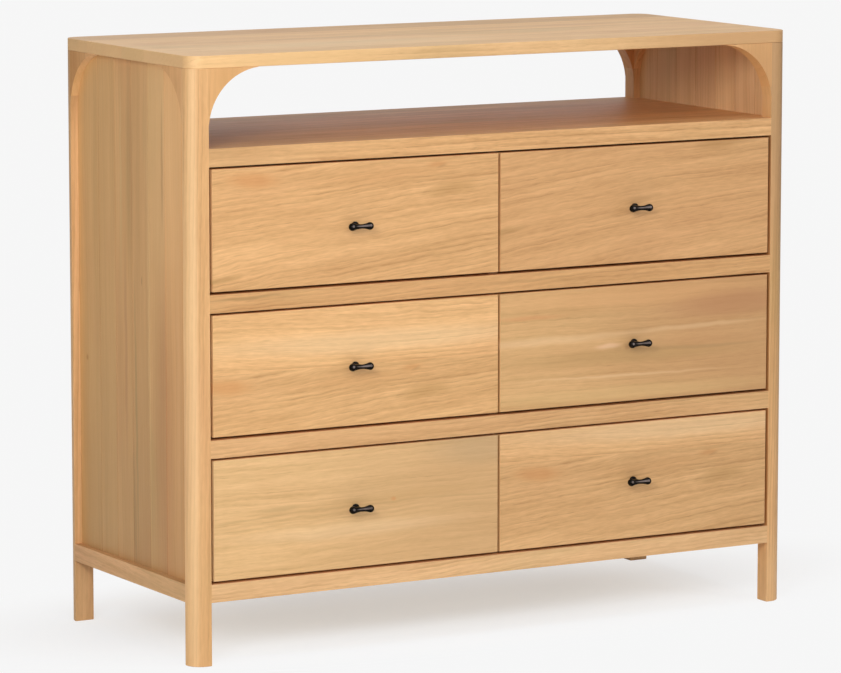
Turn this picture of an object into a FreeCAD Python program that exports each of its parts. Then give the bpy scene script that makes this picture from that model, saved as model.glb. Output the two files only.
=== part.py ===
"""A six-drawer dresser with an open shelf under its top, in solid wood.

Millimetres. +Z is up, the drawers open towards -Y, and the origin is on the
floor at the middle of the whole object, pulls included.
"""
import FreeCAD, Part
import math
import os

Vector = FreeCAD.Vector

# Overall size of the wooden case, without the pulls
width = 1220.0
depth = 498.0
height = 1054.0

# Top panel
top_thickness = 22.0
top_edge_round = 1.5

# Posts, which are also the legs
post_width = 36.0
post_depth = 30.0
corner_radius = 27.5
leg_clearance = 111.0
foot_round = 1.5
round_limit_share = 0.95

# Arched brackets in the upper corners of the open shelf and the side frames
arch_radius = 106.0
arch_joint_share = 0.755
arch_lip = 0.5

# Side panels, made of upright boards set in grooves
panel_setback = 14.5
panel_thickness = 8.0
groove_depth = 8.0
groove_play = 0.2
tongue_play = 0.5
board_chamfer = 0.8
left_board_shares = (0.0, 0.083, 0.227, 0.37, 0.513, 0.657, 0.8, 1.0)
right_board_shares = (0.0, 0.118, 0.262, 0.407, 0.553, 0.703, 0.849, 1.0)

# Rails between the posts
rail_height = 31.5
rail_depth = 45.0

# Open space over the shelf
open_space_height = 136.5

# Rows of drawers and the gaps round the drawer fronts
rows = ("lower", "middle", "upper")
front_thickness = 20.0
front_edge_round = 1.0
gap_above = 4.0
gap_below = 5.0
gap_beside = 5.5
gap_between = 4.4

# Hidden panels
back_thickness = 6.0
bottom_panel_thickness = 12.0
partition_thickness = 18.0
partition_setback = 2.0

# Battens that carry the slides on the side frames
batten_height = 60.0

# Drawer slides
slide_thickness = 12.7
slide_height = 42.0
slide_gauge = 1.2
slide_play = 0.3
slide_setback = 4.0
slide_rear_clearance = 18.0
slide_rise_share = 0.45

# Slide screws
screw_radius = 1.75
screw_head_radius = 3.5
screw_head_height = 1.6
screw_reach_share = 0.45
screw_inset = 42.0

# Drawer boxes
box_wood = 12.0
box_floor_clearance = 14.0
box_head_clearance = 35.0
box_rear_clearance = 12.0
box_bottom_thickness = 6.0
box_bottom_rise = 10.0
box_groove_depth = 6.0

# Pulls: a bar with ball ends on a stem, held by one screw
pull_length = 48.0
pull_ball_radius = 6.8
pull_waist_radius = 4.0
pull_stand_off = 23.0
pull_stem_radius = 3.6
pull_foot_radius = 6.6
pull_foot_thickness = 3.0
left_pull_offset = 6.0
right_pull_offset = 4.4
pull_rise = 1.0
pull_screw_radius = 2.0
pull_screw_play = 0.15
pull_screw_bite = 9.0
pull_screw_head_radius = 4.2
pull_screw_head_height = 2.6
top_row_pull_drop = 6.0

# Places worked out from the sizes above
pull_projection = pull_stand_off + pull_ball_radius
half_width = width / 2
front_y = (pull_projection - depth) / 2
rear_y = front_y + depth
middle_y = (front_y + rear_y) / 2
top_underside = height - top_thickness
frame_x = half_width - post_width
panel_outer_x = half_width - panel_setback
panel_inner_x = panel_outer_x - panel_thickness
front_post_y = front_y + post_depth
rear_post_y = rear_y - post_depth
base_top = leg_clearance + rail_height
shelf_top = top_underside - open_space_height
shelf_underside = shelf_top - rail_height
row_pitch = (shelf_top - base_top) / len(rows)
opening_height = row_pitch - rail_height
openings_z = [base_top + i * row_pitch for i in range(len(rows))]
back_y = rear_post_y - back_thickness
rail_rear_y = front_y + rail_depth
front_inner_y = front_y + front_thickness

arch_centre_z = top_underside - arch_radius
arch_joint_drop = arch_joint_share * arch_radius
round_radius = min(corner_radius, round_limit_share * min(post_width, post_depth))

half_partition = partition_thickness / 2
batten_thickness = panel_inner_x - frame_x
slide_y = front_inner_y + slide_setback
slide_length = back_y - slide_rear_clearance - slide_y
screw_length = screw_reach_share * min(partition_thickness, batten_thickness)

box_outer_x = frame_x - slide_thickness
box_inner_x = half_partition + slide_thickness
box_rear_y = back_y - box_rear_clearance
box_height = opening_height - box_floor_clearance - box_head_clearance
slide_rise = box_floor_clearance + slide_rise_share * box_height
front_outer_x = frame_x - gap_beside
front_inner_x = gap_between / 2
front_middle_x = (front_outer_x + front_inner_x) / 2
pull_places = {"left": front_middle_x + left_pull_offset, "right": front_middle_x - right_pull_offset}


def block(low, high):
    """A box between two corners."""
    return Part.makeBox(high[0] - low[0], high[1] - low[1], high[2] - low[2], Vector(*low))


def mirror_x(shape):
    """The same piece on the other side of the dresser."""
    return shape.mirror(Vector(0, 0, 0), Vector(1, 0, 0))


def mirror_y(shape):
    """The same piece at the other end of the dresser's depth."""
    return shape.mirror(Vector(0, middle_y, 0), Vector(0, 1, 0))


def rounded_outline(x_half, low_y, high_y, radius):
    """A rectangle with four rounded corners, at z = 0."""
    middle = (low_y + high_y) / 2
    y_half = (high_y - low_y) / 2
    slab = Part.makeBox(2 * x_half, 2 * y_half, radius, Vector(-x_half, middle - y_half, 0))
    uprights = [edge for edge in slab.Edges if edge.BoundBox.ZLength > radius / 2]
    rounded = slab.makeFillet(radius, uprights)
    return min(rounded.Faces, key=lambda face: face.CenterOfMass.z)


def top_panel():
    """The slab on top, with rounded corners and softened edges."""
    face = rounded_outline(half_width, front_y, rear_y, round_radius)
    slab = face.extrude(Vector(0, 0, top_thickness))
    slab.translate(Vector(0, 0, top_underside))
    flat_edges = [edge for edge in slab.Edges if edge.BoundBox.ZLength < top_edge_round]
    return slab.makeFillet(top_edge_round, flat_edges)


def arch_reach(drop):
    """How far the arch stands out from the post, this far under the top."""
    return arch_radius - math.sqrt(arch_radius ** 2 - (arch_radius - drop) ** 2)


def arch_outline(start_drop, end_drop):
    """Corners of an arch piece as (reach, drop), with the arc's middle point."""
    start = (arch_reach(start_drop), start_drop)
    end = (arch_reach(end_drop), end_drop)
    start_angle = math.acos((arch_radius - start_drop) / arch_radius)
    end_angle = math.acos((arch_radius - end_drop) / arch_radius)
    angle = (start_angle + end_angle) / 2
    middle = (arch_radius * (1 - math.sin(angle)), arch_radius * (1 - math.cos(angle)))
    return start, middle, end


def arch_piece(start_drop, end_drop, flat_drop, place, thickness):
    """A solid between a post and the arch, from one drop under the top to another."""
    start, middle, end = arch_outline(start_drop, end_drop)
    corners = [place(0, end[1]), place(0, flat_drop), place(start[0], flat_drop)]
    if flat_drop < start_drop:
        corners.append(place(*start))
    edges = [Part.makeLine(a, b) for a, b in zip(corners, corners[1:])]
    edges.append(Part.Arc(place(*start), place(*middle), place(*end)).toShape())
    edges.append(Part.makeLine(place(*end), corners[0]))
    return Part.Face(Part.Wire(edges)).extrude(thickness)


def across(reach, drop):
    """A point of an arch across the front, at the left post."""
    return Vector(reach - frame_x, front_y, top_underside - drop)


def along(reach, drop):
    """A point of an arch along the left side, at the front post."""
    return Vector(-half_width, front_post_y + reach, top_underside - drop)


across_thickness = Vector(0, post_depth, 0)
along_thickness = Vector(post_width, 0, 0)


def arch_cylinder(radius):
    """The round space of the left side frame's front arch, run through the frame."""
    centre = Vector(-half_width, front_post_y + arch_radius, arch_centre_z)
    return Part.makeCylinder(radius, post_width, centre, Vector(1, 0, 0))


def groove_block(low_y, high_y, low_z, high_z):
    """A slot as wide as the left side panel, with play on both faces."""
    return block((-panel_outer_x - groove_play, low_y, low_z), (-panel_inner_x + groove_play, high_y, high_z))


def post():
    """The front left post, with the feet of its two arches and the panel's groove."""
    inner_x = post_width - half_width
    corner = [Vector(round_radius - half_width, front_y, 0), Vector(inner_x, front_y, 0),
              Vector(inner_x, front_post_y, 0), Vector(-half_width, front_post_y, 0),
              Vector(-half_width, front_y + round_radius, 0)]
    edges = [Part.makeLine(a, b) for a, b in zip(corner, corner[1:])]
    slack = round_radius * (1 - math.sqrt(0.5))
    edges.append(Part.Arc(corner[-1], Vector(slack - half_width, front_y + slack, 0), corner[0]).toShape())
    shaft = Part.Face(Part.Wire(edges)).extrude(Vector(0, 0, top_underside))
    foot_edges = [edge for edge in shaft.Edges if edge.BoundBox.ZMax < foot_round]
    shaft = shaft.makeFillet(foot_round, foot_edges)
    foot_drop = arch_reach(arch_lip)
    for place, thickness in ((across, across_thickness), (along, along_thickness)):
        shaft = shaft.fuse(arch_piece(arch_joint_drop, foot_drop, arch_joint_drop, place, thickness))
    groove = groove_block(front_post_y - groove_depth, front_post_y + groove_depth,
                          base_top - groove_depth, top_underside)
    return shaft.cut(groove).removeSplitter()


def front_bracket():
    """The bracket beside the front left post, in the plane of the front."""
    return arch_piece(arch_lip, arch_joint_drop, 0, across, across_thickness)


def side_bracket():
    """The bracket beside the front left post, in the side frame, grooved for the panel."""
    whole = arch_piece(arch_lip, arch_joint_drop, 0, along, along_thickness)
    slot = groove_block(front_post_y, front_post_y + arch_radius, arch_centre_z, top_underside)
    return whole.cut(slot.common(arch_cylinder(arch_radius + groove_depth)))


def side_boards(shares):
    """The boards of a side panel at the left, whose top corners follow the arches."""
    tongue = groove_depth - tongue_play
    low_y = front_post_y - tongue
    high_y = rear_post_y + tongue
    sheet = block((-panel_outer_x, low_y, base_top - tongue), (-panel_inner_x, high_y, top_underside))
    corner = block((-half_width, low_y - tongue, arch_centre_z),
                   (-frame_x, front_post_y + arch_radius, height))
    corner = corner.cut(arch_cylinder(arch_radius + tongue))
    sheet = sheet.cut(corner).cut(mirror_y(corner))
    boards = []
    for start_share, end_share in zip(shares, shares[1:]):
        start = low_y + start_share * (high_y - low_y)
        end = low_y + end_share * (high_y - low_y)
        strip = block((-half_width, start, 0), (-frame_x, end, height))
        board = sheet.common(strip)
        inner_ends = [y for y in (start, end) if low_y < y < high_y]
        boards.append(board.makeChamfer(board_chamfer, long_edges(board, inner_ends)))
    return Part.makeCompound(boards)


def long_edges(board, places):
    """The upright edges of a board that lie at the given places along the depth."""
    found = []
    for edge in board.Edges:
        span = edge.BoundBox
        if span.YLength < board_chamfer and span.ZLength > rail_height:
            if any(abs(span.YMin - y) < board_chamfer for y in places):
                found.append(edge)
    return found


def side_rail():
    """The left bottom rail, grooved along its top for the panel."""
    rail = block((-half_width, front_post_y, leg_clearance), (-frame_x, rear_post_y, base_top))
    return rail.cut(groove_block(front_post_y, rear_post_y, base_top - groove_depth, base_top))


def front_rail(low_z):
    """A rail across the front, from post to post."""
    return block((-frame_x, front_y, low_z), (frame_x, rail_rear_y, low_z + rail_height))


def rear_rail():
    """The rail across the foot of the back."""
    return block((-frame_x, rear_post_y, leg_clearance), (frame_x, rear_y, base_top))


def open_shelf():
    """The shelf, notched round the four posts."""
    between_panels = block((-panel_inner_x, front_post_y, shelf_underside),
                           (panel_inner_x, rear_post_y, shelf_top))
    between_posts = block((-frame_x, front_y, shelf_underside), (frame_x, rear_y, shelf_top))
    return between_panels.fuse(between_posts).removeSplitter()


def back_panel():
    """The panel behind the drawers, in front of the rear posts."""
    return block((-panel_inner_x, back_y, base_top), (panel_inner_x, rear_post_y, shelf_underside))


def bottom_panel():
    """The panel that closes the case below, level with the bottom rails."""
    low_z = base_top - bottom_panel_thickness
    return block((-frame_x, rail_rear_y, low_z), (frame_x, rear_post_y, base_top))


def screw_places():
    """Where the screws of the slides stand: depth and height, for each row."""
    ends = (slide_y + screw_inset, slide_y + slide_length - screw_inset)
    return [(y, z + slide_rise) for z in openings_z for y in ends]


def slide_screw(x, y, z, inward):
    """One pan-head screw whose head lies on the slide and whose shank enters the wood."""
    seat = Vector(x + inward * slide_gauge, y, z)
    head = Part.makeCylinder(screw_head_radius, screw_head_height, seat, Vector(inward, 0, 0))
    shank = Part.makeCylinder(screw_radius, slide_gauge + screw_length, seat, Vector(-inward, 0, 0))
    return head.fuse(shank).removeSplitter()


# Each wall that carries slides: its face, and the way to the drawer beside it
slide_walls = ((-frame_x, 1), (-half_partition, -1), (half_partition, 1), (frame_x, -1))


def all_slide_screws():
    """Every slide screw, as separate solids."""
    return [slide_screw(x, y, z, inward) for x, inward in slide_walls for y, z in screw_places()]


def centre_partition(screws):
    """The upright panel between the two banks of drawers, notched round the rails."""
    sheet = block((-half_partition, front_inner_y + partition_setback, base_top),
                  (half_partition, back_y, shelf_underside))
    for low_z in openings_z[1:]:
        sheet = sheet.cut(front_rail(low_z - rail_height))
    return sheet.cut(Part.makeCompound(screws))


def runner_battens(screws):
    """The battens that fill the side frames' recess behind each row of slides."""
    battens = []
    for bottom in openings_z:
        low_z = bottom + slide_rise - batten_height / 2
        batten = block((-panel_inner_x, front_post_y, low_z), (-frame_x, back_y, low_z + batten_height))
        battens += [batten, mirror_x(batten)]
    drilled = [batten.cut(Part.makeCompound(screws)) for batten in battens]
    return Part.makeCompound(drilled)


def channel(x, inward, near, far, half_height, open_near):
    """A length of bent-steel channel along the depth, centred on z = 0."""
    near_x, far_x = sorted((x + inward * near, x + inward * far))
    outer = block((near_x, slide_y, -half_height), (far_x, slide_y + slide_length, half_height))
    inner_half = half_height - slide_gauge
    cut_near = near - slide_gauge if open_near else near + slide_gauge
    cut_far = far - slide_gauge if open_near else far + slide_gauge
    low_x, high_x = sorted((x + inward * cut_near, x + inward * cut_far))
    hollow = block((low_x, slide_y - slide_gauge, -inner_half),
                   (high_x, slide_y + slide_length + slide_gauge, inner_half))
    return outer.cut(hollow)


def cabinet_slide(x, inward):
    """The fixed half of a slide, open towards the drawer, with its screw holes."""
    return channel(x, inward, 0, slide_thickness - slide_gauge, slide_height / 2, False)


def drawer_slide(x, inward):
    """The moving half of a slide, nested in the fixed half."""
    half_height = slide_height / 2 - slide_gauge - slide_play
    return channel(x, inward, slide_gauge + slide_play, slide_thickness, half_height, True)


def cabinet_slides(screws):
    """The fixed halves of all twelve slides."""
    members = []
    for x, inward in slide_walls:
        for bottom in openings_z:
            member = cabinet_slide(x, inward)
            member.translate(Vector(0, 0, bottom + slide_rise))
            members.append(member.cut(Part.makeCompound(screws)))
    return Part.makeCompound(members)


def pull(away_x, centre_z):
    """A bar with ball ends on a stem with a small foot, on the left drawer's face."""
    ball_x = pull_length / 2 - pull_ball_radius
    rise = pull_ball_radius - pull_waist_radius
    waist_curve = (ball_x ** 2 + pull_waist_radius ** 2 - pull_ball_radius ** 2) / (2 * rise)
    reach = waist_curve + pull_ball_radius
    touch_x = ball_x - pull_ball_radius * ball_x / reach
    touch_r = pull_ball_radius * (pull_waist_radius + waist_curve) / reach
    slant = (math.atan2(touch_r, touch_x - ball_x)) / 2
    over_x = ball_x + pull_ball_radius * math.cos(slant)
    over_r = pull_ball_radius * math.sin(slant)
    end_x = pull_length / 2
    outline = [Vector(x, 0, r) for x, r in (
        (-end_x, 0), (-over_x, over_r), (-touch_x, touch_r), (0, pull_waist_radius),
        (touch_x, touch_r), (over_x, over_r), (end_x, 0))]
    edges = [Part.Arc(*outline[i:i + 3]).toShape() for i in (0, 2, 4)]
    edges.append(Part.makeLine(outline[-1], outline[0]))
    bar = Part.Face(Part.Wire(edges)).revolve(Vector(0, 0, 0), Vector(1, 0, 0), 360)
    bar.translate(Vector(0, -pull_stand_off, 0))
    back = Vector(0, -1, 0)
    foot = Part.makeCylinder(pull_foot_radius, pull_foot_thickness, Vector(0, 0, 0), back)
    flare = Part.makeCone(pull_foot_radius, pull_stem_radius, pull_stand_off / 4 - pull_foot_thickness,
                          Vector(0, -pull_foot_thickness, 0), back)
    stem = Part.makeCylinder(pull_stem_radius, pull_stand_off, Vector(0, 0, 0), back)
    whole = bar.fuse([foot, flare, stem])
    bore = Part.makeCylinder(pull_screw_radius + pull_screw_play, pull_screw_bite + pull_screw_play,
                             Vector(0, 0, 0), back)
    whole = whole.cut(bore)
    whole.translate(Vector(-away_x, front_y, centre_z))
    return whole


def pull_screw(away_x, centre_z):
    """The screw that holds the pull, put in from inside the drawer."""
    head_y = front_inner_y + box_wood
    head = Part.makeCylinder(pull_screw_head_radius, pull_screw_head_height,
                             Vector(-away_x, head_y, centre_z), Vector(0, 1, 0))
    shank = Part.makeCylinder(pull_screw_radius, head_y - front_y + pull_screw_bite,
                              Vector(-away_x, head_y, centre_z), Vector(0, -1, 0))
    return head.fuse(shank)


def pull_hole(away_x, centre_z):
    """The hole for the pull's screw through the drawer front and the box."""
    return Part.makeCylinder(pull_screw_radius + pull_screw_play, 2 * (front_thickness + box_wood),
                             Vector(-away_x, front_y - front_thickness, centre_z), Vector(0, 1, 0))


def left_drawer(bottom, drop, away_x):
    """The pieces of one drawer of the left bank, by name, with the pull this far from the middle."""
    centre_z = bottom + opening_height / 2 + pull_rise - drop
    hole = pull_hole(away_x, centre_z)
    front = block((-front_outer_x, front_y, bottom + gap_below),
                  (-front_inner_x, front_inner_y, bottom + opening_height - gap_above))
    face_edges = [edge for edge in front.Edges if edge.BoundBox.YMax < front_y + front_edge_round]
    front = front.makeFillet(front_edge_round, face_edges).cut(hole)
    low_z = bottom + box_floor_clearance
    high_z = low_z + box_height
    outer_wall = block((-box_outer_x, front_inner_y, low_z), (box_wood - box_outer_x, box_rear_y, high_z))
    inner_wall = block((-box_inner_x - box_wood, front_inner_y, low_z), (-box_inner_x, box_rear_y, high_z))
    near_end = block((box_wood - box_outer_x, front_inner_y, low_z),
                     (-box_inner_x - box_wood, front_inner_y + box_wood, high_z))
    far_end = block((box_wood - box_outer_x, box_rear_y - box_wood, low_z),
                    (-box_inner_x - box_wood, box_rear_y, high_z))
    floor_z = low_z + box_bottom_rise
    inset = box_wood - box_groove_depth
    slot = block((inset - box_outer_x, front_inner_y + inset, floor_z),
                 (-box_inner_x - inset, box_rear_y - inset, floor_z + box_bottom_thickness + groove_play))
    held = inset + tongue_play
    floor = block((held - box_outer_x, front_inner_y + held, floor_z),
                  (-box_inner_x - held, box_rear_y - held, floor_z + box_bottom_thickness))
    slides = []
    for x, inward in slide_walls[:2]:
        member = drawer_slide(x, inward)
        member.translate(Vector(0, 0, bottom + slide_rise))
        slides.append(member)
    return {
        "drawer_front": front,
        "drawer_sides": Part.makeCompound([outer_wall.cut(slot), inner_wall.cut(slot)]),
        "drawer_ends": Part.makeCompound([near_end.cut(slot).cut(hole), far_end.cut(slot)]),
        "drawer_bottom": floor,
        "pull": Part.makeCompound([pull(away_x, centre_z), pull_screw(away_x, centre_z)]),
        "drawer_slides": Part.makeCompound(slides),
    }


def case_pieces():
    """The pieces of the fixed case, by name."""
    corner_post = post()
    fore_bracket = front_bracket()
    flank_bracket = side_bracket()
    flank_brackets = Part.makeCompound([flank_bracket, mirror_y(flank_bracket)])
    fore_brackets = Part.makeCompound([fore_bracket, mirror_x(fore_bracket)])
    low_rail = side_rail()
    screws = all_slide_screws()
    return {
        "top_panel": top_panel(),
        "front_left_post": corner_post,
        "front_right_post": mirror_x(corner_post),
        "rear_left_post": mirror_y(corner_post),
        "rear_right_post": mirror_y(mirror_x(corner_post)),
        "front_arch_brackets": fore_brackets,
        "rear_arch_brackets": mirror_y(fore_brackets),
        "left_side_brackets": flank_brackets,
        "right_side_brackets": mirror_x(flank_brackets),
        "left_side_panel": side_boards(left_board_shares),
        "right_side_panel": mirror_x(side_boards(right_board_shares)),
        "left_bottom_rail": low_rail,
        "right_bottom_rail": mirror_x(low_rail),
        "front_bottom_rail": front_rail(leg_clearance),
        "rear_bottom_rail": rear_rail(),
        "lower_drawer_rail": front_rail(openings_z[1] - rail_height),
        "upper_drawer_rail": front_rail(openings_z[2] - rail_height),
        "open_shelf": open_shelf(),
        "back_panel": back_panel(),
        "bottom_panel": bottom_panel(),
        "centre_partition": centre_partition(screws),
        "runner_battens": runner_battens(screws),
        "cabinet_slides": cabinet_slides(screws),
        "slide_screws": Part.makeCompound(screws),
    }


def drawer_pieces():
    """The pieces of all six drawers, by name."""
    pieces = {}
    for row, bottom in zip(rows, openings_z):
        drop = top_row_pull_drop if row == rows[-1] else 0
        for name, shape in left_drawer(bottom, drop, pull_places["left"]).items():
            pieces[f"{row}_left_{name}"] = shape
        for name, shape in left_drawer(bottom, drop, pull_places["right"]).items():
            pieces[f"{row}_right_{name}"] = mirror_x(shape)
    return pieces


def main():
    os.makedirs("parts", exist_ok=True)
    for name, shape in {**case_pieces(), **drawer_pieces()}.items():
        shape.exportStep(f"parts/{name}.step")


main()
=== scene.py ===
"""Looks of the oak dresser: oiled boards, black bar pulls, birch drawer boxes and steel slides.

Metres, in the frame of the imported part: +Z up, drawers open towards -Y.
"""
import bpy
import math
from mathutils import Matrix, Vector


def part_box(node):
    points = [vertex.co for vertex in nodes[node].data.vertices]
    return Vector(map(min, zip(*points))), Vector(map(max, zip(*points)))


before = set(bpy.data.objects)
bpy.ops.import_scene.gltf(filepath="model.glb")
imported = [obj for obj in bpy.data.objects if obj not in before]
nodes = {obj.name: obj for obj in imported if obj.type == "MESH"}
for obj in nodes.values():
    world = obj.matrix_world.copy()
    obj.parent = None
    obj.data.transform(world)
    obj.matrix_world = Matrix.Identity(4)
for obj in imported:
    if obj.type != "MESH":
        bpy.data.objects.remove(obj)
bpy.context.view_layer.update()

millimetre = 0.001

# Camera, found from the photograph's straight edges
camera_place = (-4.1835, -7.27995, 1.6860)
camera_turn = (math.radians(81.998), 0.0, math.radians(-29.726))
camera_lens = 200.3
camera_sensor = 36.0
camera_reach = 200.0

# Colours as linear light
backdrop_white = 0.925
oak_pale = (0.880, 0.515, 0.240)
oak_deep = (0.540, 0.265, 0.095)
oak_pore = (0.300, 0.130, 0.040)
calm_pale = (0.830, 0.530, 0.255)
calm_deep = (0.560, 0.320, 0.125)
top_pale = (0.900, 0.575, 0.280)
top_deep = (0.640, 0.360, 0.150)
green_cast = (0.500, 0.350, 0.140)
rose_cast = (0.620, 0.270, 0.130)
orange_cast = (0.640, 0.270, 0.085)
cream_cast = (0.950, 0.700, 0.420)
brown_cast = (0.330, 0.150, 0.050)
birch_pale = (0.800, 0.610, 0.400)
birch_deep = (0.640, 0.440, 0.250)
ply_core = (0.420, 0.250, 0.120)
zinc_dull = (0.520, 0.530, 0.540)
zinc_bright = (0.700, 0.710, 0.720)
black_deep = (0.002, 0.0015, 0.001)
black_soft = (0.006, 0.004, 0.003)
# Colour of the highlight painted on the pulls
painted_highlight_metal = (0.220, 0.175, 0.160)


class Wire:
    """An output socket. Sums on it add Math nodes to its tree."""

    def __init__(self, tree, socket):
        self.tree = tree
        self.socket = socket

    def math(self, operation, *values):
        return self.tree.node("ShaderNodeMath", {"operation": operation}, *values)

    def __add__(self, other):
        return self.math("ADD", self, other)

    def __radd__(self, other):
        return self.math("ADD", other, self)

    def __sub__(self, other):
        return self.math("SUBTRACT", self, other)

    def __rsub__(self, other):
        return self.math("SUBTRACT", other, self)

    def __mul__(self, other):
        return self.math("MULTIPLY", self, other)

    def __rmul__(self, other):
        return self.math("MULTIPLY", other, self)

    def __truediv__(self, other):
        return self.math("DIVIDE", self, other)

    def __pow__(self, other):
        return self.math("POWER", self, other)

    def fraction(self):
        return self.math("FRACT", self)

    def absolute(self):
        return self.math("ABSOLUTE", self)

    def larger(self, other):
        return self.math("MAXIMUM", self, other)

    def centred(self):
        """A noise's values moved to lie around zero."""
        return self - 0.5

    def within(self, low, high, to_low=0.0, to_high=1.0, smooth=True):
        """This value run from one range to another, held at both ends."""
        settings = {"interpolation_type": "SMOOTHSTEP" if smooth else "LINEAR"}
        return self.tree.node("ShaderNodeMapRange", settings, self, low, high, to_low, to_high)


class Tree:
    """A node tree, built by calls that each add one node."""

    def __init__(self, tree, output):
        self.tree = tree
        self.tree.nodes.clear()
        self.output = self.tree.nodes.new(output)

    def node(self, kind, settings, *values, **named):
        """A node with its settings made first and its sockets filled in order or by name."""
        made = self.tree.nodes.new(kind)
        for key, value in settings.items():
            setattr(made, key, value)
        shown = [socket for socket in made.inputs if socket.enabled]
        for socket, value in zip(shown, values):
            self.fill(socket, value)
        for key, value in named.items():
            self.fill(made.inputs[key.replace("_", " ")], value)
        return Wire(self, next(socket for socket in made.outputs if socket.enabled))

    def fill(self, socket, value):
        """Links a wire to a socket, or sets the socket's own value."""
        if isinstance(value, Wire):
            self.tree.links.new(value.socket, socket)
        elif value is not None:
            wide = socket.type == "RGBA" and len(value) == 3
            socket.default_value = (*value, 1.0) if wide else value

    def finish(self, wire):
        self.tree.links.new(wire.socket, self.output.inputs["Surface"])

    def parts(self, kind, wire=None):
        """Every output of a node that splits a value, by its name."""
        made = self.node(kind, {}, wire)
        return {socket.name: Wire(self, socket) for socket in made.socket.node.outputs}

    def split(self, wire):
        """The three values of a point or a direction, by axis."""
        return {axis.lower(): value for axis, value in self.parts("ShaderNodeSeparateXYZ", wire).items()}

    def place(self):
        """The point on the piece, in metres, as three values."""
        return self.split(self.parts("ShaderNodeTexCoord")["Object"])

    def outward(self):
        """The way the surface faces, as three values."""
        return self.split(self.parts("ShaderNodeNewGeometry")["Normal"])

    def seen(self):
        """The kinds of ray by name, and one that marks what the camera sees."""
        rays = self.parts("ShaderNodeLightPath")
        return rays, rays["Is Camera Ray"].larger(rays["Is Transmission Ray"])

    def mix(self, first, second, share):
        """One colour turning into another."""
        return self.node("ShaderNodeMix", {"data_type": "RGBA"}, share, first, second)

    def tint(self, first, second, share=1.0):
        """Two colours multiplied."""
        settings = {"data_type": "RGBA", "blend_type": "MULTIPLY"}
        return self.node("ShaderNodeMix", settings, share, first, second)

    def doubled(self, colour):
        return self.node("ShaderNodeVectorMath", {"operation": "SCALE"}, colour, Scale=2.0)

    def point(self, x, y, z):
        return self.node("ShaderNodeCombineXYZ", {}, x, y, z)

    def noise(self, axes, scales, detail=2.0):
        """Cloudy values around a half, drawn out by how their scales differ."""
        point = self.point(*[axis * scale for axis, scale in zip(axes, scales)])
        return self.node("ShaderNodeTexNoise", {"noise_dimensions": "3D"}, point, Scale=1.0, Detail=detail)


class Finish(Tree):
    """One material and the nodes that make it."""

    def __init__(self, name):
        self.material = bpy.data.materials.new(name)
        self.material.use_nodes = True
        super().__init__(self.material.node_tree, "ShaderNodeOutputMaterial")

    def surface(self, colour, roughness, bump, bump_depth, bump_share, **constants):
        """The principled shader, with what varies linked and the rest set on its own sockets."""
        normal = self.node("ShaderNodeBump", {}, bump_share, bump_depth, Height=bump)
        self.finish(self.node("ShaderNodeBsdfPrincipled", {}, Base_Color=colour, Roughness=roughness,
                              Normal=normal, **constants))
        return self.material


# A soft patch is a stain, or painted light or shade: its middle along and across
# the grain, its half sizes, how far it leans, its colour and its strength share
patch_edge_share = 0.2
vein_overlap_share = 0.80


def patched(finish, colour, along, across, soft_patches):
    """The colour with every soft patch of a board laid over it."""
    point = finish.point(along, across, 0.0)
    for middle, reach, lean, patch_colour, strength in soft_patches:
        local = finish.node("ShaderNodeMapping", {"vector_type": "TEXTURE"}, point, (*middle, 0.0),
                            (0.0, 0.0, lean), (*reach, 1.0))
        distance = finish.node("ShaderNodeVectorMath", {"operation": "LENGTH"}, local)
        colour = finish.mix(colour, patch_colour, distance.within(1.0, patch_edge_share, 0.0, strength))
    return colour


def vein(points, half_width, colour, strength):
    """The soft patches that draw one wavy dark or pale line through points along and across the grain."""
    soft_patches = []
    for start, end in zip(points, points[1:]):
        along, across = end[0] - start[0], end[1] - start[1]
        middle = ((start[0] + end[0]) / 2, (start[1] + end[1]) / 2)
        reach = (math.hypot(along, across) * vein_overlap_share, half_width)
        soft_patches.append((middle, reach, math.atan2(across, along), colour, strength))
    return tuple(soft_patches)


def stepped(finish, value, edges, levels):
    """One level or colour on each board, by where the board's edges lie along the value."""
    low, high = edges[0], edges[-1]
    made = finish.node("ShaderNodeValToRGB", {}, value.within(low, high, smooth=False))
    ramp = made.socket.node.color_ramp
    ramp.interpolation = "CONSTANT"
    ramp.elements.remove(ramp.elements[1])
    stops = [ramp.elements[0]] + [ramp.elements.new((edge - low) / (high - low)) for edge in edges[1:-1]]
    for stop, level in zip(stops, levels):
        stop.color = (*level, 1.0) if isinstance(level, tuple) else (level, level, level, 1.0)
    return made


# Scales of oak's noises along the grain, across it and into the board, per metre
sway_scales = (2.2, 7.0, 7.0)
ripple_scales = (23.0, 30.0, 30.0)
ring_strength_scales = (1.6, 30.0, 30.0)
fibre_scales = (9.0, 250.0, 250.0)
fleck_scales = (48.0, 400.0, 400.0)
pore_scales = (46.0, 1250.0, 1250.0)
streak_scales = (1.8, 46.0, 46.0)
cloud_scales = (2.6, 9.0, 9.0)

# How far oak's grain lines stray, and how far its soft patches stray with them
sway_reach = 0.030
ripple_reach = 0.0045
patch_sway_along = 0.05
patch_sway_across = 0.008
patch_ripple_across = 0.006

# How far the figure moves from one log to the next and from one board to the next
log_step = 1.37
board_step = 9.7
board_log_step = 0.05

# How the rings, fibres, flecks and streaks darken oak, and how little end grain shows of them
ring_depth = 0.60
fibre_depth = 1.15
fleck_depth = 0.75
streak_depth = 1.4
pore_depth = 0.50
end_depth = 0.25
middle_depth = 0.33
middle_ring_depth = 0.10
end_calm_share = 0.8
depth_low, depth_high = -0.25, 1.25

# How much shows of a ring where it is faint, of the pores in late wood, and of the colour clouds
faint_ring_share = 0.10
late_pore_share = 0.30
green_share = 0.30
rose_share = 0.22

# The ranges of noise over which each mark of oak comes in
ring_strength_range = (0.34, 0.64)
pore_range = (0.56, 0.72)
green_range = (0.52, 0.75)
rose_range = (0.46, 0.25)

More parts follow.
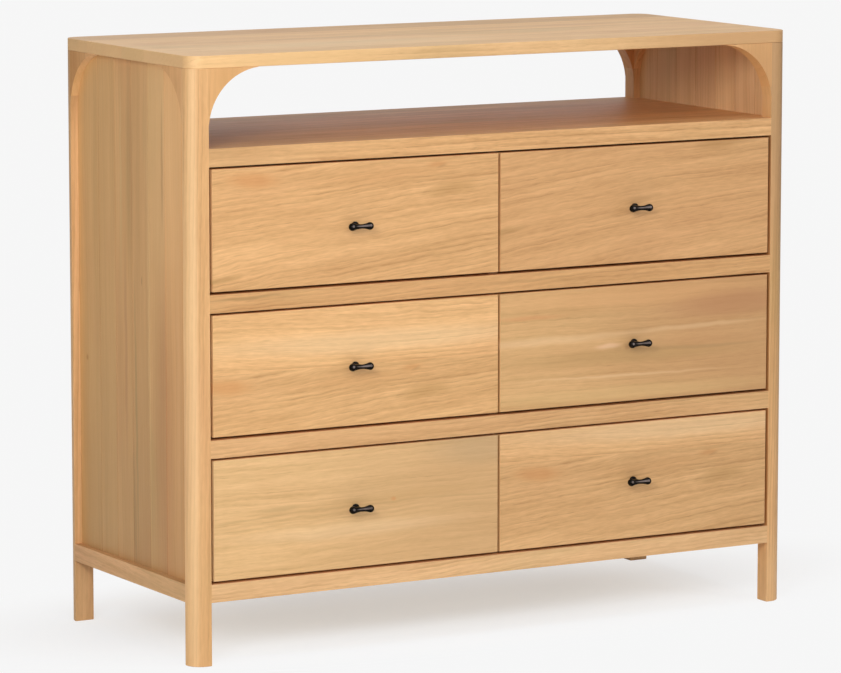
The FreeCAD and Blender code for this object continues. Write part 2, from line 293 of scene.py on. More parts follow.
# How far a surface is turned to count as end grain, a bevel, an edge or the face towards the middle
end_range = (0.6, 0.95)
bevel_range = (0.95, 0.80)
edge_range = (0.5, 0.1)
inward_range = (-0.35, -0.50)

# How far the painted shade or light inside a post takes to fade out
inner_fade = 0.003

oak_fibre_gloss = 0.25
oak_pore_gloss = 0.2
oak_relief = 0.25 * millimetre
oak_relief_share = 0.25


def growth_rings(finish, lines, log_across, log_through, ring):
    """The open wood of each year, strongest where its ring starts."""
    radius = (log_across * log_across + log_through * log_through) ** 0.5
    early = (1.0 - (radius / ring).fraction()) ** 2.0
    strength = finish.noise(lines, ring_strength_scales, detail=1.0)
    return early * strength.within(*ring_strength_range, faint_ring_share, 1.0)


def oak(name, grain, face, log, lean=0.02, bend=0.0, fan=0.0, ring=0.0085, pith=(0.35, 0.12), tone=None,
        pale=oak_pale, deep=oak_deep, contrast=1.0, line=1.0, fine=1.0, origin=(0.0, 0.0), boards=None,
        soft_patches=(), gloss=0.47, painted_edge_light=None, end_tone=None, joint_tone=None, painted_room_light=None, casts=1.0,
        wave=1.0, inner=()):
    """Oiled oak, cut from a log whose rings are centred behind the face.

    Grain and face are the axes along the fibres and out of the board, and log is a number that gives
    each log its own figure. Lean is the slope of the grain lines, bend how they curve, fan how they
    spread, ring their spacing, and pith where the log's middle lies across and behind the board.
    Line and fine are the shares of the rings and of the fibres in the contrast, casts that of the
    green and rose clouds, and wave that of the grain's sway. Boards holds the edges, colours and
    shares of the lean of boards glued side by side.

    The edge tone is painted light or shade on what doesn't face out of the board, and the end tone
    painted light on the end grain there. The joint tone darkens the small bevels between boards, and
    the room tone is painted light on a panel's face towards the middle of the dresser. Inner holds pairs
    of heights between which painted shade or light falls on a post's face towards the middle, each with
    its tone.
    """
    finish = Finish(name)
    axes = finish.place()
    rest = next(axis for axis in "xyz" if axis not in (grain, face))
    along = axes[grain] - origin[0]
    across = axes[rest] - origin[1]
    through = axes[face]
    slant = along * (across * fan - along * bend - lean)
    shift = log * log_step
    if boards:
        edges, tones, lean_shares = boards
        index = stepped(finish, across, edges, [(i + 0.5) / len(tones) for i in range(len(tones))])
        slant = slant * stepped(finish, across, edges, lean_shares)
        shift = index * board_step + shift
    run = along + shift
    spot = (run, across, through)
    sway = finish.noise(spot, sway_scales).centred() * wave
    ripple = finish.noise(spot, ripple_scales, detail=1.0).centred() * wave
    height = across + slant + sway * sway_reach + ripple * ripple_reach
    lines = (run, height, through)

    log_across = height + pith[0]
    if boards:
        log_across = log_across + shift * board_log_step
    early = growth_rings(finish, lines, log_across, through + pith[1], ring)
    fibre = finish.noise(lines, fibre_scales, detail=3.0)
    fleck = finish.noise(lines, fleck_scales, detail=1.0)
    streak = finish.noise(lines, streak_scales, detail=3.0)
    pores = finish.noise(lines, pore_scales, detail=1.0).within(*pore_range)
    pores = pores * (late_pore_share + (1.0 - late_pore_share) * early)
    cloud = finish.noise(spot, cloud_scales)

    normal = finish.outward()
    end = normal[grain].absolute().within(*end_range)
    calmed = 1.0 - end * end_calm_share
    depth = early * (ring_depth * line) + fibre.centred() * (fibre_depth * fine)
    depth = depth + fleck.centred() * (fleck_depth * fine) + streak.centred() * streak_depth
    middle = middle_depth - middle_ring_depth * contrast * line
    depth = depth * (contrast * calmed) + middle + end * end_depth
    depth = depth.within(depth_low, depth_high, depth_low, depth_high, smooth=False)
    colour = finish.mix(pale, deep, depth)
    colour.socket.node.clamp_factor = False
    colour = finish.mix(colour, oak_pore, pores * (pore_depth * contrast * fine))
    colour = finish.mix(colour, green_cast, cloud.within(*green_range, 0.0, green_share * casts))
    colour = finish.mix(colour, rose_cast, cloud.within(*rose_range, 0.0, rose_share * casts))
    if soft_patches:
        patch_along = along + sway * patch_sway_along
        patch_across = across + ripple * patch_ripple_across + sway * patch_sway_across
        colour = patched(finish, colour, patch_along, patch_across, soft_patches)
    if tone:
        colour = finish.tint(colour, tone)
    if boards:
        # A ramp's colours end at 1, so it holds half of each tone
        half_tones = [tuple(value / 2 for value in board_tone) for board_tone in tones]
        colour = finish.tint(colour, finish.doubled(stepped(finish, across, edges, half_tones)), calmed)

    facing = normal[face].absolute()
    if joint_tone:
        colour = finish.tint(colour, joint_tone, facing.within(*bevel_range))
    # Painted light on a panel's face towards the middle
    if painted_room_light:
        colour = finish.tint(colour, painted_room_light, (normal[face] * through).within(*inward_range))
    # Painted light and shade on the faces turned away from the board's face
    if painted_edge_light:
        shade = finish.mix(painted_edge_light, end_tone, end) if end_tone else painted_edge_light
        colour = finish.tint(colour, shade, facing.within(*edge_range))
    # Painted shade or light on a post's face towards the middle
    for low, high, inner_tone in inner:
        inward = (normal[rest] * axes[rest]).within(*inward_range)
        beside = axes[grain].within(low, low + inner_fade) * axes[grain].within(high, high - inner_fade)
        colour = finish.tint(colour, inner_tone, inward * beside)

    roughness = gloss + fibre.centred() * oak_fibre_gloss + pores * oak_pore_gloss
    relief = finish.noise((along, across, through), fibre_scales, detail=3.0) if boards else fibre
    return finish.surface(colour, roughness, relief, oak_relief, oak_relief_share)


# Birch: its noises' scales, how they darken it, and the layers of its plywood
birch_sway_scales = (1.6, 5.0, 5.0)
birch_sway_reach = 0.05
birch_fibre_scales = (12.0, 480.0, 480.0)
birch_flame_scales = (2.0, 26.0, 26.0)
birch_fibre_depth = 0.6
birch_flame_depth = 1.4
birch_middle_depth = 0.35
birch_gloss = 0.55
birch_fibre_gloss = 0.2
birch_relief = 0.1 * millimetre
birch_relief_share = 0.2
layer_range = (0.42, 0.58)
layer_edge_range = (0.7, 0.3)
layer_share = 0.7


def birch(name, grain, face, log, ply_gap=0.0):
    """Bare birch with a fine straight grain. Plywood also shows its layers on its edges."""
    finish = Finish(name)
    axes = finish.place()
    rest = next(axis for axis in "xyz" if axis not in (grain, face))
    along, across, through = axes[grain] + log, axes[rest], axes[face]
    sway = finish.noise((along, across, through), birch_sway_scales).centred()
    height = across + sway * birch_sway_reach
    fibre = finish.noise((along, height, through), birch_fibre_scales)
    flame = finish.noise((along, height, through), birch_flame_scales, detail=3.0)
    depth = fibre.centred() * birch_fibre_depth + flame.centred() * birch_flame_depth + birch_middle_depth
    colour = finish.mix(birch_pale, birch_deep, depth.within(0.0, 1.0, smooth=False))
    if ply_gap:
        layer = (through / (2 * ply_gap)).fraction().within(*layer_range)
        edge = finish.outward()[face].absolute().within(*layer_edge_range)
        colour = finish.mix(colour, ply_core, layer * edge * layer_share)
    roughness = birch_gloss + fibre.centred() * birch_fibre_gloss
    return finish.surface(colour, roughness, fibre, birch_relief, birch_relief_share)


# Steel of the slides: the marks of rolling run front to back
rolled_scales = (900.0, 12.0, 900.0)
zinc_cloud_scales = (30.0, 30.0, 30.0)
zinc_gloss = 0.26
zinc_rolled_gloss = 0.16
zinc_cloud_gloss = 0.1
zinc_relief = 0.03 * millimetre
zinc_relief_share = 0.2


def zinc_steel():
    """Rolled, zinc-plated sheet steel with faint marks along its length."""
    finish = Finish("zinc_steel")
    axes = finish.place().values()
    rolled = finish.noise(axes, rolled_scales)
    cloudy = finish.noise(axes, zinc_cloud_scales, detail=3.0)
    colour = finish.mix(zinc_dull, zinc_bright, rolled * 0.5 + cloudy * 0.5)
    roughness = zinc_gloss + rolled * zinc_rolled_gloss + cloudy * zinc_cloud_gloss
    return finish.surface(colour, roughness, rolled, zinc_relief, zinc_relief_share, Metallic=1.0)


# Metal of the pulls: the painted highlight on the side that faces the lamps, and its gloss
metal_grain_scales = (700.0, 700.0, 700.0)
metal_patch_scales = (60.0, 60.0, 60.0)
metal_patch_range = (0.35, 0.75)
highlight_way = {"x": -0.12, "y": -0.96, "z": 0.25}
highlight_range = (0.905, 0.992)
highlight_patch_range = (0.30, 0.60)
highlight_least_share = 0.5
metal_gloss = 0.14
metal_grain_gloss = 0.08
metal_patch_gloss = 0.06
metal_relief = 0.04 * millimetre
metal_relief_share = 0.12
metal_shine = 0.08


def black_metal():
    """Black plated metal, softly polished, with a highlight painted paler where it faces the lamps."""
    finish = Finish("black_metal")
    axes = finish.place().values()
    fine = finish.noise(axes, metal_grain_scales, detail=3.0)
    patches = finish.noise(axes, metal_patch_scales)
    colour = finish.mix(black_deep, black_soft, patches.within(*metal_patch_range))
    normal = finish.outward()
    front = normal["x"] * highlight_way["x"] + normal["y"] * highlight_way["y"] + normal["z"] * highlight_way["z"]
    # Painted highlight where the surface faces the lamps, broken up by the patches
    painted_highlight = front.within(*highlight_range) * patches.within(*highlight_patch_range, highlight_least_share, 1.0)
    colour = finish.mix(colour, painted_highlight_metal, painted_highlight)
    roughness = metal_gloss + fine * metal_grain_gloss + patches * metal_patch_gloss
    return finish.surface(colour, roughness, fine, metal_relief, metal_relief_share,
                          Specular_IOR_Level=metal_shine)


# The boards of each glued panel: the axis across them, where they meet as shares of
# the panel's size, their colours and their shares of the lean
mixed_leans = (0.2, 1.0, 0.5, 0.0, 0.8, 0.4, 0.9)
glued_boards = {
    "top_panel": (
        "y",
        (0.0, 0.17, 0.345, 0.522, 0.68, 0.80, 1.0),
        ((1.06, 1.06, 1.06), (1.06, 1.06, 1.06), (1.05, 1.04, 1.03), (1.02, 1.00, 0.97),
         (1.03, 1.01, 0.97), (0.86, 0.82, 0.78)),
        mixed_leans,
    ),
    "open_shelf": (
        "y",
        (0.0, 0.20, 0.40, 0.60, 0.80, 1.0),
        # The front boards are darker and the rear ones lighter and bluer: painted shade at the front and
        # painted light at the back
        ((0.95, 0.93, 0.90), (0.97, 0.95, 0.92), (0.94, 0.93, 0.93), (1.06, 1.07, 1.11),
         (1.04, 1.05, 1.09)),
        mixed_leans,
    ),
    "left_side_panel": (
        "y",
        (0.0, 0.083, 0.227, 0.37, 0.513, 0.657, 0.8, 1.0),
        ((1.20, 1.20, 1.13), (1.09, 1.05, 1.00), (1.00, 1.01, 0.98), (0.92, 0.92, 0.89),
         (1.00, 1.01, 0.98), (0.98, 1.01, 0.97), (0.97, 1.00, 0.96)),
        mixed_leans,
    ),
    "right_side_panel": (
        "y",
        (0.0, 0.118, 0.262, 0.407, 0.553, 0.703, 0.849, 1.0),
        ((1.0, 1.0, 1.0), (0.97, 0.96, 0.96), (1.03, 1.04, 1.03), (0.95, 0.94, 0.94),
         (1.0, 1.01, 1.0), (0.97, 0.98, 0.96), (1.02, 1.02, 1.02)),
        mixed_leans,
    ),
    "back_panel": (
        "x",
        (0.0, 0.2, 0.4, 0.6, 0.8, 1.0),
        ((1.0, 1.0, 1.0), (0.98, 0.98, 0.97), (1.0, 1.0, 1.0), (0.98, 0.98, 0.97), (1.0, 1.0, 1.0)),
        (1.0, -1.0, 1.0, -1.0, 1.0),
    ),
}

# Stains of the top and the shelf, with painted light and shade among them
top_stains_and_painted_light = (
    ((-0.61, 0.0), (0.05, 0.40), 0.0, (0.88, 0.55, 0.25), 0.38),
    ((0.0, 0.022), (0.75, 0.012), 0.0, (0.52, 0.32, 0.15), 0.35),
    ((-0.25, -0.10), (0.45, 0.12), 0.0, cream_cast, 0.25),
    # Painted shade at the right end of the front edge, and painted light at its left end
    ((0.55, -0.2375), (0.42, 0.022), 0.0, (0.60, 0.33, 0.14), 0.75),
    ((-0.48, -0.2375), (0.40, 0.022), 0.0, (0.95, 0.60, 0.27), 0.45),
)
shelf_painted_shade = (
    # Painted shade, darker towards the left end
    ((-0.60, 0.0), (0.45, 0.50), 0.0, (0.48, 0.28, 0.13), 0.48),
)

# The left panel, with a reddish board near its front, a dark line in its middle, and painted shade and
# light
left_panel_stains_and_painted_light = (
    # Painted shade, darker towards the bottom
    ((0.00, 0.00), (0.75, 0.90), 0.0, (0.42, 0.25, 0.11), 0.32),
    # Painted light at the top, towards the front
    ((1.00, -0.125), (0.55, 0.130), 0.0, (1.00, 0.64, 0.33), 0.42),
    ((0.36, -0.100), (0.40, 0.052), 0.0, (0.52, 0.23, 0.095), 0.45),
    ((0.86, -0.097), (0.16, 0.006), 0.0, (0.50, 0.22, 0.09), 0.50),
    ((0.58, -0.044), (0.52, 0.006), 0.006, (0.90, 0.60, 0.30), 0.50),
    ((0.38, 0.007), (0.34, 0.006), 0.02, (0.32, 0.24, 0.09), 0.36),
    ((0.22, 0.016), (0.16, 0.010), 0.03, (0.32, 0.22, 0.09), 0.35),
    ((0.84, 0.031), (0.26, 0.020), 0.0, (0.40, 0.23, 0.09), 0.38),
    ((0.52, 0.047), (0.30, 0.008), 0.0, (0.45, 0.17, 0.08), 0.35),
    ((0.80, 0.064), (0.30, 0.005), 0.0, (0.75, 0.53, 0.26), 0.40),
    ((0.643, -0.0175), (0.012, 0.003), 0.0, brown_cast, 0.45),
    ((0.489, 0.2045), (0.008, 0.006), 0.0, (0.50, 0.22, 0.06), 0.70),
    ((0.55, -0.155), (0.50, 0.010), 0.0, (0.85, 0.52, 0.27), 0.25),
)

# Stains of the posts, the arched brackets and the upper rail, with painted light and shade on the posts
# and the left brackets
post_stains_and_painted_light = {
    "front_left_post": (
        # Painted light on the post's left-hand side
        ((0.25, -0.6105), (0.90, 0.0060), 0.0, (1.00, 0.66, 0.34), 0.22),
        # Painted highlight along the post's rounded front corner
        ((0.50, -0.6025), (1.40, 0.0105), 0.0, (1.00, 0.69, 0.39), 0.45),
        ((0.02, -0.5870), (0.34, 0.0100), 0.0, (0.72, 0.42, 0.19), 0.25),
    ),
    "front_right_post": (
        ((0.95, 0.592), (0.45, 0.060), 0.0, (0.42, 0.24, 0.12), 0.55),
        # Painted shade on the post's right-hand corner
        ((0.55, 0.6105), (0.90, 0.010), 0.0, (0.50, 0.29, 0.14), 0.30),
        ((0.0, 0.591), (0.20, 0.060), 0.0, (1.00, 0.66, 0.36), 0.36),
    ),
    "rear_left_post": (
        # Painted shade at the top of the post, under the top panel
        ((1.02, -0.600), (0.16, 0.200), 0.0, (0.42, 0.20, 0.075), 0.55),
    ),
}
front_bracket_stains = (
    ((0.97, -0.578), (0.075, 0.006), 0.0, (0.45, 0.20, 0.07), 0.55),
    ((0.98, -0.545), (0.09, 0.008), 0.0, (0.62, 0.32, 0.12), 0.30),
    ((0.97, -0.540), (0.14, 0.060), 0.0, (0.60, 0.33, 0.12), 0.34),
    ((0.97, 0.555), (0.14, 0.080), 0.0, (0.48, 0.24, 0.09), 0.42),
)
left_bracket_stains_and_painted_shade = (
    # Painted shade at the top of the rear bracket, under the top panel
    ((1.00, 0.245), (0.16, 0.110), 0.0, (0.46, 0.20, 0.045), 0.72),
    ((0.98, -0.160), (0.14, 0.060), 0.0, (0.66, 0.34, 0.13), 0.40),
)
upper_rail_stains = (
    ((-0.500, 0.636), (0.100, 0.005), 0.03, (0.40, 0.24, 0.09), 0.55),
    ((0.05, 0.630), (0.12, 0.004), 0.02, (0.50, 0.28, 0.11), 0.35),
)

# Four drawer fronts come from one flitch: each shows another stretch of its grain.
# Places are measured from its small swirl, along and across the grain. A seam runs above it.
flitch_log = 2.0
flitch_swirls = {
    "upper_left": (-0.128, 0.845),
    "upper_right": (0.443, 0.899),
    "middle_left": (-0.1805, 0.491),
    "lower_right": (0.4426, 0.289),
}
flitch_seam = 0.0135
flitch_tones = ((1.0, 1.0, 1.0), (1.10, 1.11, 1.14))
flitch_leans = (1.0, 0.0)
flitch_looks = {
    "upper_left": dict(tone=(1.00, 0.995, 0.935), contrast=0.60),
    "upper_right": dict(tone=(0.93, 0.90, 0.84), contrast=0.56),
    "middle_left": dict(tone=(1.01, 1.03, 0.97), contrast=0.62),
    "lower_right": dict(tone=(0.94, 0.965, 0.93), contrast=0.62),
}
flitch_stains = (
    ((0.0, 0.002), (0.030, 0.008), 0.1, orange_cast, 0.45),
    ((0.010, -0.002), (0.016, 0.004), 0.2, brown_cast, 0.30),
    ((0.024, -0.042), (0.075, 0.018), 0.1, (0.52, 0.27, 0.09), 0.50),
    ((-0.362, -0.008), (0.072, 0.020), -0.05, (0.70, 0.30, 0.10), 0.52),
    ((-0.425, -0.177), (0.050, 0.008), 0.14, (0.46, 0.25, 0.08), 0.50),
    ((-0.10, -0.012), (0.20, 0.014), 0.05, (0.66, 0.33, 0.13), 0.35),
    ((-0.05, 0.055), (0.5, 0.030), 0.0, cream_cast, 0.30),
)

# The calmer fronts: middle right with its greenish band and a painted shadow of its pull, lower left with
# its wavy line
middle_right_stains_and_painted_shadow = (
    ((0.62, 0.520), (0.62, 0.400), 0.0, (0.50, 0.25, 0.11), 0.45),
    ((0.28, 0.590), (0.42, 0.034), 0.0, (0.80, 0.43, 0.19), 0.35),
    ((0.06, 0.562), (0.10, 0.006), 0.0, (0.72, 0.33, 0.14), 0.45),
    ((0.50, 0.563), (0.21, 0.034), 0.02, (0.52, 0.25, 0.115), 0.62),
    ((0.10, 0.519), (0.24, 0.012), 0.01, cream_cast, 0.35),
    ((0.40, 0.526), (0.24, 0.0065), 0.02, cream_cast, 0.30),
    ((0.28, 0.482), (0.36, 0.022), 0.0, (0.52, 0.33, 0.13), 0.48),
    ((0.43, 0.489), (0.17, 0.005), -0.02, (0.42, 0.26, 0.11), 0.35),
    ((0.228, 0.501), (0.038, 0.007), 0.05, (0.95, 0.64, 0.42), 0.55),
    # Painted shadow of the pull, just left of its end
    ((0.268, 0.500), (0.012, 0.009), 0.0, (0.45, 0.24, 0.10), 0.45),
    ((0.26, 0.446), (0.30, 0.0035), -0.01, cream_cast, 0.35),
    ((0.28, 0.415), (0.42, 0.018), 0.0, (0.83, 0.60, 0.28), 0.35),
)
lower_left_stains = (
    ((0.05, 0.250), (0.55, 0.400), 0.0, (0.52, 0.30, 0.14), 0.42),
    ((-0.20, 0.269), (0.27, 0.012), 0.03, (0.60, 0.36, 0.15), 0.35),
    ((-0.213, 0.263), (0.007, 0.005), 0.0, orange_cast, 0.60),
    ((-0.30, 0.215), (0.30, 0.020), 0.0, cream_cast, 0.25),
    ((-0.02, 0.345), (0.16, 0.05), 0.0, (0.45, 0.32, 0.18), 0.35),
    ((-0.440, 0.263), (0.060, 0.008), 0.05, (0.50, 0.31, 0.13), 0.40),
)
wavy_line = ((-0.568, 0.2450), (-0.494, 0.2490), (-0.425, 0.2545), (-0.299, 0.2555), (-0.154, 0.2590),
             (-0.005, 0.2550))
wavy_line_half_width = 0.0034
wavy_line_colour = (0.48, 0.28, 0.11)
wavy_line_drops = ((0.0, 0.36), (0.0095, 0.18), (0.0175, 0.20), (0.0260, 0.14))
for drop, strength in wavy_line_drops:
    lowered = [(along, across - drop) for along, across in wavy_line]
    lower_left_stains += vein(lowered, wavy_line_half_width, wavy_line_colour, strength)

# Tones of edges, joints and hidden faces: painted shade in the gaps round the fronts, painted light
# or shade on other edges and faces, and the darker joints between boards
# Painted shade on the fronts' edges in the gaps
painted_gap_shade = (0.98, 0.88, 0.84)
# Painted light on the fronts' end grain in the side gaps, stronger on the left-hand fronts
front_end_tones = {"left": (1.25, 1.42, 1.62), "right": (1.05, 1.15, 1.30)}
# Painted light on the rails' top and bottom faces in the gaps
painted_rail_edge_light = (1.12, 1.06, 1.06)
# Painted shade on the side rails' top faces and other edges, where the ledge meets the panel
painted_side_rail_shade = (0.80, 0.76, 0.72)
# Painted light on the shelf's edges, lifting the painted shade of its front boards there
painted_shelf_edge_light = (1.08, 1.11, 1.12)
# Painted light on the curved undersides and edges of the arches
painted_front_arch_light = (1.18, 1.20, 1.20)
painted_left_arch_light = (1.32, 1.66, 2.30)
board_joint_tone = (0.79, 0.69, 0.62)
# Painted light on the right panel's face towards the middle, lighter and bluer
painted_right_room_light = (1.07, 1.18, 1.38)
# Painted shade on the posts' faces beside the drawers, and painted light beside the open shelf
painted_post_shade_beside_drawers = (0.142, 0.865, (0.78, 0.66, 0.56))
painted_post_light_beside_shelf = (0.890, 1.040, (1.36, 1.39, 1.33))
front_pith = (0.15, 0.57)
rear_pith = (0.15, -0.80)

# How each piece of the case is cut from its log: the name of its finish, the axes
# along its grain and out of its face, and its log
case_cuts = {
    "top_panel": ("oak_top", "x", "z", 11.0),
    "open_shelf": ("oak_shelf", "x", "z", 12.0),
    "left_side_panel": ("oak_left_boards", "z", "x", 13.0),
    "right_side_panel": ("oak_right_boards", "z", "x", 14.0),
    "front_left_post": ("oak_front_left_post", "z", "y", 20.0),
    "front_right_post": ("oak_front_right_post", "z", "y", 21.0),
    "rear_left_post": ("oak_rear_left_post", "z", "y", 22.0),
    "rear_right_post": ("oak_rear_right_post", "z", "y", 23.0),
    "front_arch_brackets": ("oak_front_brackets", "z", "y", 31.0),
    "rear_arch_brackets": ("oak_rear_brackets", "z", "y", 32.0),
    "left_side_brackets": ("oak_left_brackets", "z", "x", 33.0),
    "right_side_brackets": ("oak_right_brackets", "z", "x", 34.0),
    "upper_drawer_rail": ("oak_upper_rail", "x", "y", 43.0),
    "front_bottom_rail": ("oak_front_bottom_rail", "x", "y", 40.0),
    "rear_bottom_rail": ("oak_rear_bottom_rail", "x", "y", 41.0),
    "lower_drawer_rail": ("oak_lower_drawer_rail", "x", "y", 42.0),
    "left_bottom_rail": ("oak_left_bottom_rail", "y", "x", 45.0),
    "right_bottom_rail": ("oak_right_bottom_rail", "y", "x", 46.0),
    "back_panel": ("oak_back", "z", "y", 51.0),
}

# What the pieces of a kind share
post_look = dict(ring=0.0065, contrast=0.72, fine=0.7, gloss=0.40, wave=0.3)
rail_look = dict(lean=0.03, ring=0.007, contrast=0.70, painted_edge_light=painted_rail_edge_light)
side_rail_look = dict(lean=0.05, ring=0.007, contrast=0.75, painted_edge_light=painted_side_rail_shade)
panel_look = dict(lean=0.01, fine=0.2, joint_tone=board_joint_tone)

# How the wood of each piece of the case looks
case_looks = {
    "top_panel": dict(ring=0.010, pith=(0.2, 0.05), contrast=0.7, pale=top_pale, deep=top_deep,
                      soft_patches=top_stains_and_painted_light),
    "open_shelf": dict(ring=0.010, pith=(0.2, 0.05), contrast=0.8, tone=(1.00, 0.99, 0.96),
                       soft_patches=shelf_painted_shade, painted_edge_light=painted_shelf_edge_light),
    "left_side_panel": dict(panel_look, contrast=0.55, line=0.4, tone=(0.95, 0.94, 0.865),
                            soft_patches=left_panel_stains_and_painted_light),
    "right_side_panel": dict(panel_look, contrast=0.66, line=0.7, tone=(1.00, 0.995, 0.93),
                             painted_room_light=painted_right_room_light),
    "front_left_post": dict(post_look, pith=front_pith, tone=(1.00, 1.00, 0.94),
                            inner=(painted_post_shade_beside_drawers,)),
    "front_right_post": dict(post_look, pith=front_pith, tone=(1.02, 1.01, 0.95),
                             inner=(painted_post_shade_beside_drawers, painted_post_light_beside_shelf)),
    "rear_left_post": dict(post_look, pith=rear_pith, tone=(1.04, 1.10, 1.16),
                           inner=(painted_post_shade_beside_drawers,)),
    "rear_right_post": dict(post_look, pith=rear_pith, tone=(1.0, 1.0, 1.0),
                            inner=(painted_post_shade_beside_drawers,)),
    "front_arch_brackets": dict(ring=0.009, contrast=0.32, fine=0.7, tone=(1.06, 1.04, 0.98),
                                soft_patches=front_bracket_stains, painted_edge_light=painted_front_arch_light),
    "rear_arch_brackets": dict(ring=0.008, contrast=0.45, tone=(1.00, 0.87, 0.70)),
    "left_side_brackets": dict(ring=0.008, contrast=0.5, tone=(1.02, 0.99, 0.93),
                               soft_patches=left_bracket_stains_and_painted_shade, painted_edge_light=painted_left_arch_light),
    "right_side_brackets": dict(ring=0.008, contrast=0.5, tone=(1.10, 1.10, 1.08)),
    "upper_drawer_rail": dict(rail_look, tone=(0.91, 0.875, 0.79), soft_patches=upper_rail_stains),
    "front_bottom_rail": dict(rail_look, tone=(1.05, 1.13, 1.20)),
    "rear_bottom_rail": dict(rail_look, tone=(1.0, 1.0, 1.0)),
    "lower_drawer_rail": dict(rail_look, tone=(0.96, 0.97, 0.95)),
    "left_bottom_rail": side_rail_look,
    "right_bottom_rail": side_rail_look,
    "back_panel": dict(ring=0.010, contrast=0.7, line=0.8, tone=(1.05, 1.05, 1.02)),
}

# What the fronts of the flitch share, and the calmer ones with their logs
flitch_front_look = dict(lean=0.065, bend=-0.01, fan=0.25, ring=0.0095, line=0.85, fine=1.25, casts=0.4,
                         soft_patches=flitch_stains, painted_edge_light=painted_gap_shade)
calm_front_look = dict(lean=0.01, pale=calm_pale, deep=calm_deep, painted_edge_light=painted_gap_shade)
calm_looks = {
    "middle_right": dict(calm_front_look, log=5.0, ring=0.013, contrast=0.60, line=0.6, casts=0.5,
                         tone=(1.00, 0.955, 0.885), soft_patches=middle_right_stains_and_painted_shadow),
    "lower_left": dict(calm_front_look, log=6.0, ring=0.011, contrast=0.64, line=0.7, casts=0.4,
                       tone=(1.10, 1.11, 1.09), soft_patches=lower_left_stains),
}

# How the birch pieces are cut, as for the case's oak, with the gap between plywood's layers
case_ply_gap = 1.5 * millimetre
drawer_ply_gap = 1.2 * millimetre
case_birch = {
    "bottom_panel": ("birch_bottom", "x", "z", 6.0, case_ply_gap),
    "centre_partition": ("birch_partition", "z", "x", 7.0, case_ply_gap),
    "runner_battens": ("birch_battens", "y", "x", 8.0),
}
box_birch = {
    "sides": ("birch_drawer_sides", "y", "x", 0.4),
    "ends": ("birch_drawer_ends", "x", "y", 1.9),
    "bottom": ("birch_drawer_floor", "x", "z", 3.1, drawer_ply_gap),
}


def wear(name, material):
    """Gives a CAD node its finish."""
    slots = nodes[name].data.materials
    slots.clear()
    slots.append(material)


def glued(name):
    """The boards of a glued panel: their edges across it, their colours and their shares of the lean."""
    axis, shares, tones, lean_shares = glued_boards[name]
    low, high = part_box(name)
    side = "xyz".index(axis)
    return [low[side] + share * (high[side] - low[side]) for share in shares], tones, lean_shares


def dress_case():
    """Every wooden piece of the case."""
    for name, (finish_name, grain, face, log) in case_cuts.items():
        look = dict(case_looks[name])
        if name in glued_boards:
            look["boards"] = glued(name)
        if name in post_stains_and_painted_light:
            look["soft_patches"] = post_stains_and_painted_light[name]
        wear(name, oak(finish_name, grain, face, log, **look))
    for name, cut in case_birch.items():
        wear(name, birch(*cut))


def flitch_look(key):
    """How one front of the flitch looks, with the seam where it reaches above it."""
    swirl = flitch_swirls[key]
    low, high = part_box(f"{key}_drawer_front")
    bottom, top = low.z - swirl[1], high.z - swirl[1]
    edges = [bottom, flitch_seam, top] if top > flitch_seam else [bottom, top]
    count = len(edges) - 1
    return dict(flitch_front_look, log=flitch_log, origin=swirl,
                boards=(edges, flitch_tones[:count], flitch_leans[:count]), **flitch_looks[key])


def dress_drawers():
    """Fronts, boxes, pulls and slides of the six drawers."""
    metal, steel = black_metal(), zinc_steel()
    box_woods = {part: birch(*cut) for part, cut in box_birch.items()}
    for row in ("lower", "middle", "upper"):
        for side in ("left", "right"):
            key = f"{row}_{side}"
            look = dict(calm_looks[key] if key in calm_looks else flitch_look(key))
            look["end_tone"] = front_end_tones[side]
            wear(f"{key}_drawer_front", oak(f"oak_{key}_drawer", "x", "y", **look))
            for part, wood in box_woods.items():
                wear(f"{key}_drawer_{part}", wood)
            wear(f"{key}_pull", metal)
            wear(f"{key}_drawer_slides", steel)
    wear("cabinet_slides", steel)
    wear("slide_screws", steel)


# The floor's own tone, the brighter tone that the camera sees, the warm glow near the dresser
# that paints bounce light from the wood into its shadow, and how far out it keeps shadows
floor_size = 120.0
floor_tone = (0.92, 0.92, 0.92)
floor_seen_tone = (1.14, 1.40, 1.67)
floor_painted_bounce_tone = (1.00, 0.925, 0.86)
floor_glow_share = 0.52
floor_middle_y = 0.10
floor_half_sizes = (0.62, 0.25)
floor_near = 0.45
floor_far = 1.9


def add_floor():
    """A plain pale floor that keeps the shadow, and reads as the backdrop's white where it is lit."""
    bpy.ops.mesh.primitive_plane_add(size=floor_size, location=(0.0, 0.0, 0.0))
    floor = bpy.context.object
    floor.name = "floor"
    finish = Finish("floor_white")
    rays, shown = finish.seen()
    axes = finish.place()
    aside = axes["x"] / floor_half_sizes[0]
    behind = (axes["y"] - floor_middle_y) / floor_half_sizes[1]
    reach = (aside * aside + behind * behind) ** 0.5
    away = reach.within(floor_near, floor_far)
    glowing = away * (1.0 - floor_glow_share) + floor_glow_share
    lit = finish.node("ShaderNodeBsdfDiffuse", {}, finish.mix(floor_tone, floor_seen_tone, shown))
    # Warm near the dresser: painted bounce light in the shadow
    glow_colour = finish.mix(floor_painted_bounce_tone, (backdrop_white,) * 3, away)
    glow = finish.node("ShaderNodeEmission", {}, glow_colour, 1.0)
    finish.finish(finish.node("ShaderNodeMixShader", {}, shown * glowing, lit, glow))
    floor.data.materials.append(finish.material)


# Light from all around, and how bright the surroundings look in a reflection
world_strength = 0.27
reflected_strength = 0.75


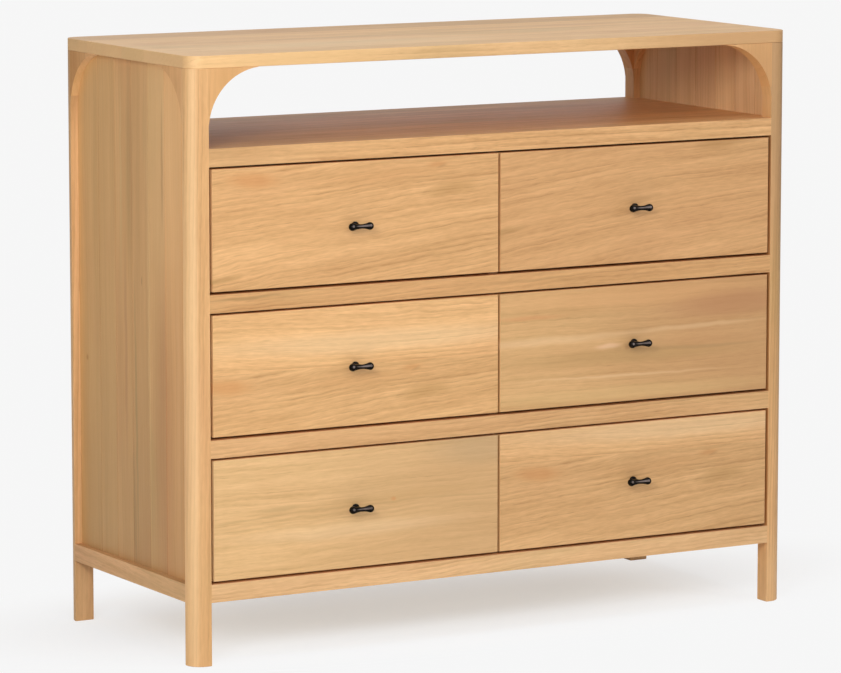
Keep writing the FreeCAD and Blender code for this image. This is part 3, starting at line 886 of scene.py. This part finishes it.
def add_world():
    """Even room light, and the white backdrop where the camera sees it."""
    world = bpy.data.worlds.new("studio")
    world.use_nodes = True
    bpy.context.scene.world = world
    tree = Tree(world.node_tree, "ShaderNodeOutputWorld")
    rays, shown = tree.seen()
    around = rays["Is Glossy Ray"].within(0.0, 1.0, world_strength, reflected_strength, smooth=False)
    strength = around + shown * (backdrop_white - around)
    tree.finish(tree.node("ShaderNodeBackground", {}, (1.0, 1.0, 1.0), strength))


# Each lamp's place, the point that it faces, its size and its power
lamps = {
    "corner_lamp": ((-3.0, -3.0, 2.2), (-0.3, 0.0, 0.6), 1.2, 62.0),
    "front_lamp": ((-1.3, -3.8, 1.9), (-0.2, 0.0, 0.5), 1.8, 26.0),
    "left_lamp": ((-3.4, -1.7, 1.4), (-0.4, 0.0, 0.6), 1.4, 6.0),
    "right_lamp": ((2.2, -3.0, 1.5), (0.1, 0.0, 0.5), 0.8, 12.0),
    "top_lamp": ((0.3, -0.6, 3.4), (0.0, 0.0, 0.9), 1.6, 22.0),
    "rear_lamp": ((0.5, 3.2, 2.8), (0.0, 0.2, 0.9), 0.9, 4.0),
}


def add_lamp(name, place, target, size, power):
    """A square soft lamp that faces a point of the dresser."""
    lamp = bpy.data.lights.new(name, "AREA")
    lamp.shape = "SQUARE"
    lamp.size = size
    lamp.energy = power
    made = bpy.data.objects.new(name, lamp)
    bpy.context.scene.collection.objects.link(made)
    made.location = place
    aim = [t - p for t, p in zip(target, place)]
    level = math.hypot(aim[0], aim[1])
    made.rotation_euler = (math.atan2(level, -aim[2]), 0.0, math.atan2(aim[1], aim[0]) - math.pi / 2)


def add_camera():
    """The camera at the photograph's viewing angle."""
    data = bpy.data.cameras.new("camera")
    data.lens = camera_lens
    data.sensor_width = camera_sensor
    data.clip_end = camera_reach
    camera = bpy.data.objects.new("camera", data)
    bpy.context.scene.collection.objects.link(camera)
    camera.location = camera_place
    camera.rotation_euler = camera_turn
    bpy.context.scene.camera = camera


dress_case()
dress_drawers()
add_floor()
add_world()
for name, settings in lamps.items():
    add_lamp(name, *settings)
add_camera()
bpy.context.scene.view_settings.view_transform = "Standard"
